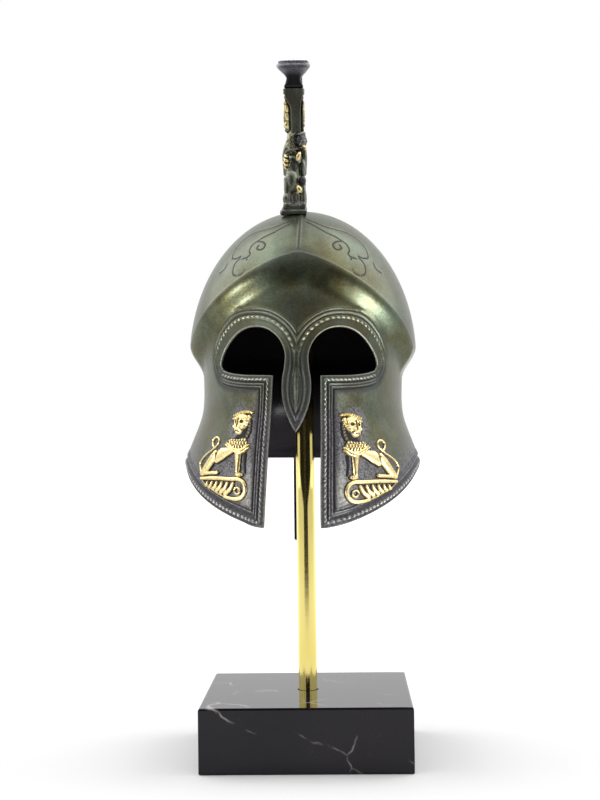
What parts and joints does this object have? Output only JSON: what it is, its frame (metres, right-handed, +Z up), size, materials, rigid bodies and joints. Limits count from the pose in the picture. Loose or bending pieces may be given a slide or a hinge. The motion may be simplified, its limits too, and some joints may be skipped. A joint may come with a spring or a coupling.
{
  "type": "crested bronze helmet on rod and marble stand",
  "caption": "Miniature crested Corinthian helmet in patinated bronze with lion reliefs on its cheek guards, held by a brass rod in a black marble block.",
  "frame": {"origin": "centre of the marble block's underside", "axes": "+Z up along the rod, the helmet faces -Y, +X to the viewer's right"},
  "size_m": [0.0752, 0.1101, 0.2233],
  "materials": {
    "black_marble": "polished, fine white veins",
    "polished_brass": "mirror polished",
    "patinated_bronze": "waxed green-black patina, gold-rubbed reliefs",
    "relief_bronze": "dark patina rubbed bright on the raised work",
    "dark_bronze": "dark waxed patina"
  },
  "bodies": {
    "root": {"marble_block": "black_marble", "rod": "polished_brass", "helmet_shell": "patinated_bronze", "crest_figure": "relief_bronze", "crest_box": "relief_bronze", "crest_plume": "dark_bronze"}
  },
  "joints": []
}
